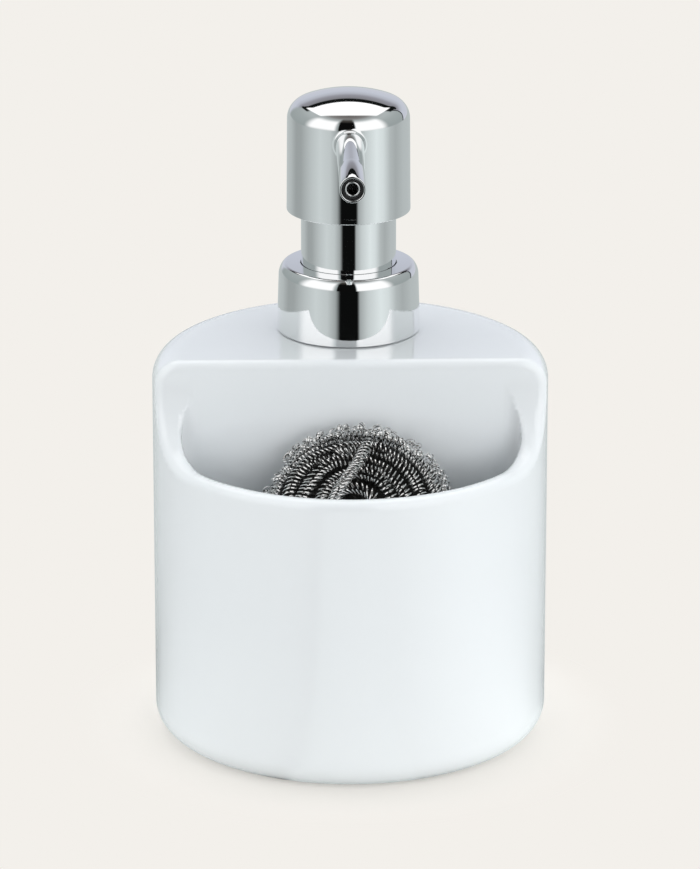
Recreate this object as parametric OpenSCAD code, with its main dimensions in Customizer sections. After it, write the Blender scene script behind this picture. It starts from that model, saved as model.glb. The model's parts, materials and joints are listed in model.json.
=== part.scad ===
/* [Ceramic body] */
// Outer radius of the round body
body_r = 55; // [52:0.5:62]
// Height of the deck that carries the pump
body_h = 110; // [104:1:130]
// Rounding of the deck's outer edge
deck_round = 7.5; // [4:0.5:9]
// Rounding of the base's outer edge
base_round = 7.5; // [4:0.5:9]
// Wall of the soap tank
tank_wall = 5; // [4:0.5:6]
// Thickness of the tank's floor
floor_t = 6; // [5:0.5:8]
// Thickness of the deck over the tank
deck_t = 6; // [5:0.5:8]
// Width of the unglazed ring that the body stands on
foot_ring_w = 3.5; // [2:0.5:6]
// Depth of the recess inside the foot ring
foot_recess = 1.2; // [0.6:0.2:2]
/* [Scourer pocket] */
// Distance from the body's axis forward to the pocket's upright back wall
back_wall_y = 10.5; // [9:0.5:14]
// Height of the pocket's front rim
rim_h = 83; // [76:1:92]
// Wall of the pocket at the front
rim_wall = 5.5; // [4.5:0.5:7]
// Height of the pocket's floor
pocket_floor_h = 46; // [34:1:52]
// Radius of the sweep that rises from the rim to the deck
sweep_r = 20; // [14:0.5:22]
// Radius of the upright corners beside the back wall
pocket_corner_r = 6; // [3:0.5:8]
// Radius along the foot of the pocket's walls
pocket_foot_r = 5; // [2:0.5:7]
// Rounding of the edge between the deck and the upright wall
deck_lip_r = 2; // [1:0.25:3]
/* [Mouth and screw neck] */
// Distance from the body's axis back to the pump's axis
pump_y = 21; // [19:0.5:24]
// Radius of the mouth in the deck
mouth_r = 14.6; // [14:0.1:15.2]
// Thickness of the washer between the deck and the neck
mouth_washer_t = 0.8; // [0.5:0.1:1.2]
// Radius of the flange on the screw neck
neck_flange_r = 17.3; // [16.5:0.1:18]
// Thickness of that flange
neck_flange_t = 1.6; // [1.2:0.1:2.2]
// Height of the screw neck above its flange
neck_rise = 11.6; // [10:0.2:14]
// Depth of the plug that is glued into the mouth
neck_plug_h = 8; // [6:0.5:10]
// Radius of the bore through the neck
neck_bore_r = 11; // [10.2:0.1:11.6]
// Radius of the neck between its threads
thread_root_r = 13; // [12.8:0.1:13.2]
// Height of a thread above the neck
thread_depth = 1; // [0.8:0.05:1.1]
// Climb of the thread in one turn
thread_pitch = 3; // [2.8:0.1:3.4]
// Turns of thread that hold the collar
thread_turns = 1.5; // [1.25:0.25:1.75]
/* [Collar] */
// Radius of the collar at its lower edge
collar_r = 20.1; // [19.9:0.1:22]
// How much the collar narrows towards its top
collar_taper = 0.5; // [0:0.1:0.6]
// Radius of the collar's shoulder where it leaves the side
collar_round = 4.6; // [3.6:0.1:5]
// Smaller radius where the shoulder meets the top
collar_edge_r = 0.9; // [0.5:0.1:1.6]
// Fall of the collar's top from the sleeve to the shoulder
collar_crown = 0.1; // [0:0.05:0.3]
// Wall of a chromed shell
shell_t = 1.2; // [1:0.1:1.3]
// Gap under the collar's lower edge
collar_gap = 0.3; // [0.2:0.1:0.6]
// Thickness of the lip that clamps the pump
lip_t = 1.5; // [1.2:0.1:2.2]
/* [Neck sleeve] */
// Radius of the sleeve under the head
sleeve_r = 13.3; // [12.8:0.1:13.4]
// Wall of the sleeve
sleeve_t = 0.8; // [0.6:0.1:0.9]
// Length of sleeve that shows under the head
sleeve_show = 15.4; // [14.6:0.1:20]
// Length of sleeve that reaches up into the head
sleeve_hide = 2.7; // [2:0.1:3.2]
/* [Head] */
// Radius of the head
head_r = 17.3; // [16.8:0.1:19]
// Height of the head from its lower edge to its crown
head_h = 33.9; // [33:0.1:40]
// Rounding between the head's side and its crown
head_round = 5.7; // [5:0.1:7]
// Radius of the domed crown
crown_r = 38; // [35:1:70]
// Rounding of the head's lower edge
head_lip_r = 0.5; // [0.3:0.1:1]
// Depth of the spout's axis at the head's side below the crown
spout_drop = 11; // [10.6:0.1:11.6]
// Reach of the spout's tip in front of the head
spout_reach = 34; // [24:0.5:38]
// Fall of the spout's straight part from the level
spout_fall = 3; // [1:0.5:4]
// Length over which the spout's end bends down
spout_bend_len = 12; // [8:0.5:16]
// Radius of that bend
spout_bend_r = 60; // [45:1:90]
// Outer radius of the spout at its tip
spout_tip_r = 3.6; // [3.4:0.1:3.8]
// Outer radius of the spout at its root
spout_root_r = 4; // [3.8:0.1:4.2]
// Wall of the spout at its tip
spout_wall = 0.45; // [0.4:0.05:0.6]
// Radius of the blend between the spout and the head
spout_blend_r = 2; // [1:0.25:2.5]
// Radius of the soap passage in the nozzle
passage_r = 1.1; // [0.8:0.1:1.3]
// Radius of the nozzle's mouth
nozzle_mouth_r = 1.7; // [1.5:0.1:2.3]
// Depth of the nozzle's mouth
nozzle_mouth_h = 3; // [1:0.5:5]
// Inset of the nozzle's end behind the spout's rim
nozzle_inset = 0.5; // [0.2:0.1:1]
/* [Pump] */
// Travel of the head
stroke = 12.5; // [10:0.5:13]
// Radius of the pump chamber
chamber_r = 7; // [6.6:0.1:7.4]
// Wall of the pump chamber
chamber_t = 1.5; // [1.2:0.1:1.8]
// Length of the chamber
chamber_h = 43; // [42:0.5:48]
// Thickness of the pump's clamped flange
pump_flange_t = 1.6; // [1.2:0.1:2]
// Thickness of the washer under that flange
pump_washer_t = 0.8; // [0.5:0.1:1.2]
// Radius of the piston stem
stem_r = 4; // [3.8:0.1:4.2]
// Radius of the passage in the stem
stem_bore_r = 2; // [1.8:0.1:2.2]
// Length of the piston seal
seal_h = 6; // [5:0.5:7]
// Radius of the spring's wire
spring_wire_r = 0.5; // [0.4:0.05:0.55]
// Turns of the spring
spring_turns = 8; // [7:1:9]
// Radius of the inlet ball
inlet_ball_r = 2.3; // [2.2:0.05:2.4]
// Radius of the outlet ball
outlet_ball_r = 1.5; // [1.45:0.05:1.6]
// Outer radius of the dip tube
dip_tube_r = 2.6; // [2.4:0.1:2.7]
// Wall of the dip tube
dip_tube_t = 0.7; // [0.5:0.1:0.9]
// Clearance between the dip tube and the tank's floor
dip_tube_lift = 3; // [2:0.5:6]
/* [Scourer] */
// Gap between the scourer and the pocket's front wall
scourer_front_gap = 1.1; // [0.6:0.1:4]
// Thickness of the scourer as a share of its width
scourer_squash = 0.49; // [0.4:0.01:0.6]
// Radius of the coiled wire strand
strand_r = 1.9; // [1.7:0.1:2.2]
// Gap between neighbouring strands
strand_gap = 0.6; // [0.5:0.05:1]
// Angle by which the scourer leans back
scourer_lean = 36; // [20:1:42]
// Place of the scourer to the right of the middle
scourer_x = 1.5; // [-8:0.5:8]
/* [Hidden] */
$fn = 96;
// Overrun of every cut
over = 0.5;
// Gap between pieces that are pushed or glued together
fit_gap = 0.1;
// Radial gap of pieces that slide or turn in each other
run_gap = 0.05;
// Gap between faces that pass each other
face_gap = 0.2;
// Gap under and behind the scourer where it rests
rest_gap = 0.3;
// Radial gap between the two threads
thread_gap = 0.25;
// Steps of an arc in an outline, of a thread in a turn and of a strand in a loop
arc_steps = 8;
thread_steps = 32;
loop_rings = 24;
curl_rings = 8;
tube_sides = 6;
// Widths of a thread at its foot and at its crest, as shares of the pitch
thread_foot_share = 0.46;
thread_crest_share = 0.22;
ceramic = [0.95, 0.96, 0.97];
chrome = [0.80, 0.82, 0.83];
steel = [0.55, 0.55, 0.54];
clear_white = [0.90, 0.91, 0.90];
dark = [0.10, 0.10, 0.11];
rubber = [0.22, 0.22, 0.23];

// The collar's stack, from the deck upwards
neck_flange_z = body_h + mouth_washer_t;
neck_foot_z = neck_flange_z + neck_flange_t;
neck_top_z = neck_foot_z + neck_rise;
pump_flange_z = neck_top_z + pump_washer_t;
pump_top_z = pump_flange_z + pump_flange_t;
lip_z = pump_top_z + face_gap;
core_top_z = lip_z + lip_t;
collar_top_z = core_top_z + fit_gap + shell_t;
collar_foot_z = body_h + collar_gap;
collar_top_r = collar_r - collar_taper;
core_r = collar_top_r - shell_t - fit_gap;
shoulder_a = 40;
shoulder_rise = collar_edge_r + (collar_round - collar_edge_r) * sin(shoulder_a);
shoulder_z = collar_top_z - collar_crown - shoulder_rise;
shoulder_r = collar_top_r - collar_round;
edge_r = shoulder_r + (collar_round - collar_edge_r) * cos(shoulder_a);
core_foot_z = neck_foot_z + 2 * face_gap;
thread_crest_r = thread_root_r + thread_depth;
core_bore_r = thread_crest_r + thread_gap;
core_crest_r = thread_root_r + thread_gap;
thread_base_z = neck_foot_z + (neck_rise - thread_turns * thread_pitch) / 2;
washer_r = core_crest_r - face_gap;

// The sleeve and the guide cap
guide_foot_z = core_top_z + face_gap;
guide_foot_r = sleeve_r - sleeve_t - fit_gap;
guide_foot_t = 1.6;
guide_neck_r = 10;
guide_tube_r = 5.6;
guide_skirt_h = 10;
head_foot_z = collar_top_z + sleeve_show;
sleeve_top_z = head_foot_z + sleeve_hide;
guide_tube_top_z = head_foot_z - stroke / 2 + face_gap;
collar_hole_r = sleeve_r + face_gap;
lip_bore_r = guide_neck_r + face_gap;

// The head
head_top_z = head_foot_z + head_h;
crown_z = head_top_z - crown_r;
head_corner_z = crown_z + sqrt(pow(crown_r - head_round, 2) - pow(head_r - head_round, 2));
head_corner_a = atan2(head_corner_z - crown_z, head_r - head_round);
head_bore_r = head_r - shell_t;
core_disc_z = sleeve_top_z + stroke + 2 * face_gap;
core_disc_t = 3;
core_boss_r = 7;
core_boss_t = 2.7;
socket_r = 5.2;
socket_foot_z = guide_tube_top_z + stroke + face_gap;

// The spout: a straight part that leaves the head, then a bend down to the tip
tip_y = pump_y - head_r - spout_reach;
spout_root_z = head_top_z - spout_drop;
spout_axis_z = spout_root_z + head_r * tan(spout_fall);
bend_y = tip_y + spout_bend_len;
bend_z = spout_root_z - (spout_reach - spout_bend_len) * tan(spout_fall);
bend_a = asin(sin(spout_fall) + spout_bend_len / spout_bend_r) - spout_fall;
tip_over_a = atan(2 * spout_tip_r / spout_bend_r);
mouth_a = atan((nozzle_inset + nozzle_mouth_h) / spout_bend_r);
side_s = (spout_reach - spout_bend_len) / cos(spout_fall);
nozzle_bore_r = spout_tip_r - spout_wall;
nozzle_r = nozzle_bore_r - fit_gap;
nozzle_seat = 2.5;
nozzle_end_s = side_s + (head_r - core_boss_r + nozzle_seat) / cos(spout_fall);
axis_s = side_s + head_r / cos(spout_fall);

// The pump
chamber_z = pump_top_z - chamber_h;
chamber_outer_r = chamber_r + chamber_t;
cage_cone_share = 0.7;
cage_lip_t = 1;
inlet_cage_r = inlet_ball_r * 1.3;
inlet_throat_r = inlet_ball_r * cage_cone_share;
inlet_cage_h = inlet_ball_r * 1.3;
outlet_cage_r = stem_bore_r + outlet_ball_r / 10;
outlet_throat_r = outlet_ball_r * cage_cone_share;
outlet_cage_h = outlet_ball_r * 1.4;
inlet_seat_z = chamber_z - cage_lip_t - inlet_cage_h - (inlet_cage_r - inlet_throat_r);
socket_floor_z = inlet_seat_z - cage_lip_t;
tube_socket_h = 9;
tube_socket_t = 1.6;
housing_foot_z = socket_floor_z - tube_socket_h;
dip_foot_z = floor_t + dip_tube_lift;
guide_skirt_z = pump_top_z - guide_skirt_h;
seal_top_z = guide_skirt_z - face_gap;
seal_z = seal_top_z - seal_h;
stem_foot_w = 1.2;
stem_foot_r = stem_r + stem_foot_w;
stem_foot_h = seal_h / 4;
spring_top_z = seal_z - face_gap;
spring_foot_z = chamber_z + face_gap / 2;
spring_r = chamber_r - spring_wire_r - 3 * face_gap;
stem_top_z = core_disc_z - face_gap;
outlet_lip_z = stem_top_z - cage_lip_t;
outlet_seat_z = outlet_lip_z - outlet_cage_h - (outlet_cage_r - outlet_throat_r);

// The scourer fills the pocket from front to back
pocket_depth = body_r - rim_wall - back_wall_y;
scourer_r = (pocket_depth - rest_gap - scourer_front_gap) / 2
    / sqrt(pow(sin(scourer_lean), 2) + pow(scourer_squash * cos(scourer_lean), 2));
scourer_half_t = scourer_squash * scourer_r;

// Its strand runs on an ellipsoid from the front pole to the back pole
strand_a = scourer_r - strand_r;
strand_b = scourer_half_t - strand_r;
core_a = strand_a - strand_r - rest_gap;
core_b = strand_b - strand_r - rest_gap;
strand_pitch = 2 * strand_r + strand_gap;
strand_start = strand_pitch * 0.72;
meridian_steps = 90;
scourer_ext_y = sqrt(pow(scourer_r * sin(scourer_lean), 2) + pow(scourer_half_t * cos(scourer_lean), 2));
scourer_ext_z = sqrt(pow(scourer_r * cos(scourer_lean), 2) + pow(scourer_half_t * sin(scourer_lean), 2));
scourer_y = -back_wall_y - scourer_ext_y - rest_gap;
scourer_z = pocket_floor_h + scourer_ext_z + rest_gap;

// Points of an arc round [x, y], both ends included
function arc(x, y, r, from, to) =
    [for (i = [0:arc_steps]) let (a = from + (to - from) * i / arc_steps) [x + r * cos(a), y + r * sin(a)]];

// Centre height of a ball that rests, run_gap clear, on a 45 degree seat
function ball_rest_z(seat_z, throat_r, ball_r) = seat_z - throat_r + (ball_r + run_gap) * sqrt(2);

// Triangles of a tube: rings of equal point counts, joined and capped
function tube_faces(rings, sides) = concat(
    [for (i = [0:rings - 2], j = [0:sides - 1]) let (a = i * sides, k = (j + 1) % sides)
        each [[a + sides + k, a + sides + j, a + j], [a + k, a + sides + k, a + j]]],
    [for (j = [1:sides - 2]) [j + 1, j, 0]],
    [for (j = [1:sides - 2]) let (b = (rings - 1) * sides) [b + j, b + j + 1, b]]);

// Ring of a tube round a point, in the plane of two unit vectors
function ring(p, u, v, r, sides) =
    [for (j = [0:sides - 1]) let (a = 360 * j / sides) p + r * (cos(a) * u + sin(a) * v)];

function unit(v) = v / norm(v);

module at_pump(z = 0) {
    translate([0, pump_y, z]) children();
}

// A ring about the pump's axis
module pump_ring(outer, inner, z0, z1) {
    at_pump(z0) difference() {
        cylinder(r = outer, h = z1 - z0);
        translate([0, 0, -over]) cylinder(r = inner, h = z1 - z0 + 2 * over);
    }
}

// Extrudes an outline drawn in Y and Z over the whole width
module along_x() {
    translate([-body_r - over, 0, 0]) rotate([90, 0, 90]) linear_extrude(2 * (body_r + over)) children();
}

// A right-hand thread ridge that climbs from z = 0, on a neck or inside a collar
module thread_ridge(foot_r, crest_r) {
    side = sign(crest_r - foot_r);
    foot = side * thread_foot_share * thread_pitch / 2;
    crest = side * thread_crest_share * thread_pitch / 2;
    sunk_r = foot_r - side * thread_gap;
    section = [[sunk_r, -foot], [crest_r, -crest], [crest_r, crest], [sunk_r, foot]];
    steps = thread_steps * thread_turns;
    points = [for (i = [0:steps], q = section) let (a = 360 * i / thread_steps)
        [q[0] * cos(a), q[0] * sin(a), q[1] + thread_pitch * i / thread_steps]];
    polyhedron(points, tube_faces(steps + 1, len(section)));
}

// The hollow that holds a valve ball: throat, seat, cage and lip
module ball_cage(seat_z, throat_r, cage_r, cage_h, lip_r, below, above) {
    wall_z = seat_z + cage_r - throat_r;
    at_pump() rotate_extrude() polygon([[0, seat_z - below], [throat_r, seat_z - below], [throat_r, seat_z],
        [cage_r, wall_z], [cage_r, wall_z + cage_h], [lip_r, wall_z + cage_h],
        [lip_r, wall_z + cage_h + above], [0, wall_z + cage_h + above]]);
}

// Body and tank

module body_outside() {
    rotate_extrude() polygon(concat([[0, 0]],
        arc(body_r - base_round, base_round, base_round, -90, 0),
        arc(body_r - deck_round, body_h - deck_round, deck_round, 0, 90),
        [[0, body_h]]));
}

// Everything above the rim and in front of the back wall, with the sweep left standing
module front_opening() {
    along_x() polygon(concat([[-body_r - over, body_h + over], [-body_r - over, rim_h]],
        arc(-back_wall_y - sweep_r, rim_h + sweep_r, sweep_r, -90, 0),
        arc(-back_wall_y + deck_lip_r, body_h - deck_lip_r, deck_lip_r, 180, 90),
        [[-back_wall_y + deck_lip_r, body_h + over]]));
}

// What an upright pocket corner leaves standing, on the right side
module pocket_corner() {
    inner_r = body_r - rim_wall;
    y = -back_wall_y - pocket_corner_r;
    x = sqrt(pow(inner_r - pocket_corner_r, 2) - y * y);
    reach = (inner_r + over) / (inner_r - pocket_corner_r);
    linear_extrude(body_h + over) difference() {
        polygon([[x, y], [x, -back_wall_y + over], [body_r, -back_wall_y + over], [x * reach, y * reach]]);
        translate([x, y]) circle(r = pocket_corner_r);
    }
}

module pocket() {
    inner_r = body_r - rim_wall;
    difference() {
        intersection() {
            rotate_extrude() polygon(concat([[0, pocket_floor_h]],
                arc(inner_r - pocket_foot_r, pocket_floor_h + pocket_foot_r, pocket_foot_r, -90, 0),
                [[inner_r, body_h + over], [0, body_h + over]]));
            along_x() polygon(concat([[-body_r, pocket_floor_h - over]],
                arc(-back_wall_y - pocket_foot_r, pocket_floor_h + pocket_foot_r, pocket_foot_r, -90, 0),
                [[-back_wall_y, body_h + over], [-body_r, body_h + over]]));
        }
        pocket_corner();
        mirror([1, 0, 0]) pocket_corner();
    }
}

module tank() {
    difference() {
        translate([0, 0, floor_t]) cylinder(r = body_r - tank_wall, h = body_h - deck_t - floor_t);
        translate([-body_r, -body_r, pocket_floor_h - tank_wall])
            cube([2 * body_r, body_r - back_wall_y + tank_wall, body_h]);
    }
}

module ceramic_body() {
    color(ceramic) difference() {
        body_outside();
        front_opening();
        pocket();
        tank();
        at_pump(body_h - deck_t - over) cylinder(r = mouth_r, h = deck_t + 2 * over);
        translate([0, 0, -over]) cylinder(r = body_r - base_round - foot_ring_w, h = foot_recess + over);
    }
}

// Mouth

module mouth_washer() {
    color(rubber) pump_ring(neck_flange_r, mouth_r, body_h, neck_flange_z);
}

module screw_neck() {
    color(clear_white) {
        difference() {
            union() {
                at_pump(body_h - neck_plug_h) cylinder(r = mouth_r - fit_gap, h = neck_plug_h + mouth_washer_t + over);
                at_pump(neck_flange_z) cylinder(r = neck_flange_r, h = neck_flange_t);
                at_pump(neck_flange_z) cylinder(r = thread_root_r, h = neck_top_z - neck_flange_z);
                at_pump(thread_base_z) thread_ridge(thread_root_r, thread_crest_r);
            }
            at_pump(body_h - neck_plug_h - over) cylinder(r = neck_bore_r, h = neck_top_z - body_h + neck_plug_h + 2 * over);
        }
    }
}

// Collar

module collar_shell() {
    inside_round = collar_round - shell_t;
    inside_rise = shoulder_rise - shell_t;
    color(chrome) at_pump() rotate_extrude() polygon(concat(
        [[collar_top_r - shell_t, collar_foot_z], [collar_r, collar_foot_z]],
        arc(shoulder_r, shoulder_z, collar_round, 0, shoulder_a),
        arc(edge_r, collar_top_z - collar_crown - collar_edge_r, collar_edge_r, shoulder_a, 90),
        [[collar_hole_r, collar_top_z], [collar_hole_r, collar_top_z - shell_t]],
        arc(shoulder_r, shoulder_z, inside_round, asin(inside_rise / inside_round), 0)));
}

module collar_core() {
    core_round = collar_round - shell_t - fit_gap;
    core_rise = core_top_z - collar_crown - shoulder_z;
    color(clear_white) union() {
        at_pump() rotate_extrude() polygon([[core_bore_r, core_foot_z], [core_r, core_foot_z],
            [core_r, shoulder_z], [shoulder_r + sqrt(core_round * core_round - core_rise * core_rise),
            core_top_z - collar_crown], [lip_bore_r, core_top_z], [lip_bore_r, lip_z], [core_bore_r, lip_z]]);
        at_pump(thread_base_z) rotate([0, 0, 180]) thread_ridge(core_bore_r, core_crest_r);
    }
}

// Pump

module pump_washer() {
    color(rubber) pump_ring(washer_r, neck_bore_r - face_gap, neck_top_z, pump_flange_z);
}

module pump_housing() {
    cone_top_z = chamber_z - chamber_t;
    socket_r_out = dip_tube_r + tube_socket_t;
    color(clear_white) difference() {
        at_pump() rotate_extrude() polygon([[0, housing_foot_z], [socket_r_out, housing_foot_z],
            [socket_r_out, inlet_seat_z], [chamber_outer_r, cone_top_z], [chamber_outer_r, pump_flange_z],
            [washer_r, pump_flange_z], [washer_r, pump_top_z], [0, pump_top_z]]);
        at_pump(chamber_z) cylinder(r = chamber_r, h = chamber_h + over);
        at_pump(housing_foot_z - over) cylinder(r = dip_tube_r + run_gap, h = tube_socket_h + over);
        ball_cage(inlet_seat_z, inlet_throat_r, inlet_cage_r, inlet_cage_h, inlet_ball_r * 0.87,
            cage_lip_t + over, cage_lip_t + over);
    }
}

module guide_cap() {
    color(clear_white) difference() {
        union() {
            at_pump(guide_skirt_z) cylinder(r = chamber_r - fit_gap, h = guide_skirt_h + over);
            at_pump(pump_top_z) cylinder(r = guide_neck_r, h = guide_foot_z - pump_top_z + over);
            at_pump(guide_foot_z) cylinder(r = guide_foot_r, h = guide_foot_t);
            at_pump(guide_foot_z) cylinder(r = guide_tube_r, h = guide_tube_top_z - guide_foot_z);
        }
        at_pump(guide_skirt_z - over) cylinder(r = stem_r + run_gap, h = guide_tube_top_z - guide_skirt_z + 2 * over);
    }
}

module neck_sleeve() {
    color(chrome) pump_ring(sleeve_r, sleeve_r - sleeve_t, guide_foot_z, sleeve_top_z);
}

module dip_tube() {
    color(clear_white) pump_ring(dip_tube_r, dip_tube_r - dip_tube_t, dip_foot_z, socket_floor_z - face_gap);
}

module return_spring() {
    rings = curl_rings * spring_turns;
    climb = spring_top_z - spring_foot_z - 2 * spring_wire_r;
    points = [for (i = [0:rings]) let (a = 360 * i / curl_rings, out = [cos(a), sin(a), 0])
        each ring(spring_r * out + [0, 0, climb * i / rings], out, [0, 0, 1], spring_wire_r, tube_sides)];
    echo(spring_gap = climb / spring_turns - 2 * spring_wire_r);
    color(steel) at_pump(spring_foot_z + spring_wire_r)
        polyhedron(points, tube_faces(rings + 1, tube_sides));
}

module inlet_ball() {
    color(steel) at_pump(ball_rest_z(inlet_seat_z, inlet_throat_r, inlet_ball_r)) sphere(r = inlet_ball_r);
}

module piston_stem() {
    color(clear_white) difference() {
        union() {
            at_pump(seal_z) cylinder(r = stem_r, h = stem_top_z - seal_z);
            at_pump(seal_z) cylinder(r = stem_foot_r, h = stem_foot_h);
        }
        at_pump(seal_z - over) cylinder(r = outlet_throat_r, h = outlet_seat_z - seal_z + 2 * over);
        ball_cage(outlet_seat_z, outlet_throat_r, outlet_cage_r, outlet_cage_h, outlet_ball_r * 0.87,
            over, cage_lip_t + over);
    }
}

module piston_seal() {
    color(dark) difference() {
        pump_ring(chamber_r - run_gap, stem_r + run_gap, seal_z, seal_top_z);
        at_pump(seal_z - over) cylinder(r = stem_foot_r + run_gap, h = stem_foot_h + over);
    }
}

module outlet_ball() {
    color(steel) at_pump(ball_rest_z(outlet_seat_z, outlet_throat_r, outlet_ball_r)) sphere(r = outlet_ball_r);
}

// Head

// Places things at the spout's bend: z runs straight back into the head, and y downwards
module at_bend() {
    translate([0, bend_y, bend_z]) rotate([spout_fall - 90, 0, 0]) children();
}

// The bent end of a round bar along the spout, from an angle of the bend to beyond the tip
module bent_bar(r, from_a = 0) {
    at_bend() translate([0, spout_bend_r, 0]) rotate([0, 90, 0]) rotate([0, 0, from_a - 90])
        rotate_extrude(angle = bend_a + tip_over_a - from_a) translate([spout_bend_r, 0]) circle(r = r);
}

// A round bar along the spout, from beyond its tip back to a length behind the bend
module spout_bar(r, back) {
    bent_bar(r);
    at_bend() cylinder(r = r, h = back);
}

module head_shell() {
    blend_top = spout_root_r + spout_blend_r;
    blend_s = side_s + head_r - sqrt(head_r * head_r - blend_top * blend_top) - spout_blend_r;
    color(chrome) difference() {
        union() {
            difference() {
                at_pump() rotate_extrude() polygon(concat([[0, head_foot_z]],
                    arc(head_r - head_lip_r, head_foot_z + head_lip_r, head_lip_r, -90, 0),
                    arc(head_r - head_round, head_corner_z, head_round, 0, head_corner_a),
                    arc(0, crown_z, crown_r, head_corner_a, 90)));
                at_pump() rotate_extrude() polygon(concat([[0, head_foot_z - over], [head_bore_r, head_foot_z - over]],
                    arc(head_r - head_round, head_corner_z, head_round - shell_t, 0, head_corner_a),
                    arc(0, crown_z, crown_r - shell_t, head_corner_a, 90)));
            }
            // The tip's end is cut upright, and the root ends inside the shell's wall
            intersection() {
                union() {
                    bent_bar(spout_tip_r);
                    at_bend() rotate_extrude() polygon(concat([[0, 0], [spout_tip_r, 0]],
                        arc(blend_top, blend_s, spout_blend_r, 180, 90),
                        [[blend_top, side_s + head_r / 4], [0, side_s + head_r / 4]]));
                }
                difference() {
                    translate([-head_r, tip_y, head_foot_z])
                        cube([2 * head_r, spout_reach + head_r / 2, head_h]);
                    at_pump(head_foot_z) cylinder(r = head_bore_r, h = head_h);
                }
            }
        }
        spout_bar(nozzle_bore_r, side_s + head_r / 2);
    }
}

module head_core() {
    core_rim_r = head_bore_r - fit_gap;
    color(clear_white) difference() {
        union() {
            at_pump(core_disc_z) cylinder(r = core_rim_r, h = core_disc_t);
            at_pump(core_disc_z) cylinder(r = core_boss_r, h = spout_axis_z + core_boss_t - core_disc_z);
            at_pump(socket_foot_z) cylinder(r = socket_r, h = core_disc_z - socket_foot_z + over);
        }
        at_pump(socket_foot_z - over) cylinder(r = stem_r + run_gap, h = core_disc_z - socket_foot_z + over);
        at_pump(core_disc_z - over) cylinder(r = outlet_ball_r, h = spout_axis_z + outlet_ball_r - core_disc_z + over);
        at_bend() cylinder(r = nozzle_bore_r, h = nozzle_end_s);
        at_bend() cylinder(r = passage_r, h = axis_s);
    }
}

module nozzle_liner() {
    color(dark) difference() {
        intersection() {
            spout_bar(nozzle_r, nozzle_end_s - fit_gap);
            translate([-head_r, tip_y + nozzle_inset, head_foot_z]) cube([2 * head_r, spout_reach + 2 * head_r, head_h]);
        }
        spout_bar(passage_r, axis_s);
        bent_bar(nozzle_mouth_r, bend_a - mouth_a);
    }
}

// Scourer

// Places things in the scourer: z runs out of the face that leans towards the front
module in_scourer() {
    translate([scourer_x, scourer_y, scourer_z]) rotate([90 - scourer_lean, 0, 0]) children();
}

module scourer_core() {
    color(steel) in_scourer() rotate_extrude() polygon(
        [for (i = [0:2 * arc_steps]) let (a = 90 - 90 * i / arc_steps) [core_a * cos(a), core_b * sin(a)]]);
}

// Length along the meridian up to each angle from the front pole
meridian_d = 180 / meridian_steps;
meridian = [for (i = 0, s = 0; i <= meridian_steps; i = i + 1,
    s = s + norm([strand_a * cos((i - 0.5) * meridian_d), strand_b * sin((i - 0.5) * meridian_d)]) * meridian_d * PI / 180)
        [s, i * meridian_d]];
meridian_len = meridian[meridian_steps][0];
strand_loops = min(24, floor((meridian_len - 2 * strand_start) / strand_pitch));
function strand_point(i) = let (s = strand_start + (meridian_len - 2 * strand_start) * i / (strand_loops * loop_rings),
    q = lookup(s, meridian), a = 360 * i / loop_rings)
    [strand_a * sin(q) * cos(a), strand_a * sin(q) * sin(a), strand_b * cos(q)];

module scourer_strand() {
    last = strand_loops * loop_rings;
    path = [for (i = [0:last]) strand_point(i)];
    points = [for (i = [0:last]) let (
        p = path[i],
        run = unit(path[min(i + 1, last)] - path[max(i - 1, 0)]),
        out = unit([p[0] / (strand_a * strand_a), p[1] / (strand_a * strand_a), p[2] / (strand_b * strand_b)]),
        side = unit(cross(run, out)),
        up = cross(side, run))
            each ring(p, up, side, strand_r, tube_sides)];
    least = min([for (i = [0:last], j = [i + loop_rings / 2:last]) norm(path[i] - path[j])]);
    echo(strand_loops = strand_loops, strand_self_gap = least - 2 * strand_r);
    color(steel) in_scourer() polyhedron(points, tube_faces(last + 1, tube_sides));
}

ceramic_body();
mouth_washer();
screw_neck();
collar_shell();
collar_core();
pump_washer();
pump_housing();
guide_cap();
neck_sleeve();
dip_tube();
return_spring();
inlet_ball();
piston_stem();
piston_seal();
outlet_ball();
head_shell();
head_core();
nozzle_liner();
scourer_core();
scourer_strand();
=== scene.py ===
# %% [markdown]
# # A soap pump caddy, dressed for its photograph
# The object is a white glazed jar with a chrome pump at the back and an open pocket at the front,
# where a stainless scourer lies. The CAD model already gives every piece its size, its place and
# its joint, so this lesson only builds surfaces and finishes around that fixed frame. Blender
# works in metres, while the shapes below are written in millimetres, which are easier to read.

# %% Load the fixed frame
import json
import math

import bpy
import numpy as np
from mathutils import Euler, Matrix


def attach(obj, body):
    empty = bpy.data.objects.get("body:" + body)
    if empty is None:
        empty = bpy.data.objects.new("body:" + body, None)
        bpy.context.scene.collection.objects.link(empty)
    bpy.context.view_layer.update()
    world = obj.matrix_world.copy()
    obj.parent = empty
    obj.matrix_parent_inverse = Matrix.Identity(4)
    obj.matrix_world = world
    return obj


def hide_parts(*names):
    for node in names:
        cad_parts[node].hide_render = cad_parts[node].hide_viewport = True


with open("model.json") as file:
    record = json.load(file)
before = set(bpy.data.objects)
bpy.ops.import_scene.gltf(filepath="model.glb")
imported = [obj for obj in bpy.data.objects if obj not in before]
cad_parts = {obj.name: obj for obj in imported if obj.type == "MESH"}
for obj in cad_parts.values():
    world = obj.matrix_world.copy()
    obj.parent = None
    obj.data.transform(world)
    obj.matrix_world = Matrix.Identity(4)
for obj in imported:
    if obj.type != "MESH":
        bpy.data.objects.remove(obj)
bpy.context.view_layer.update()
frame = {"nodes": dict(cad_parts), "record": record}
MM = 0.001
print("nodes:", sorted(frame["nodes"]))

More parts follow.
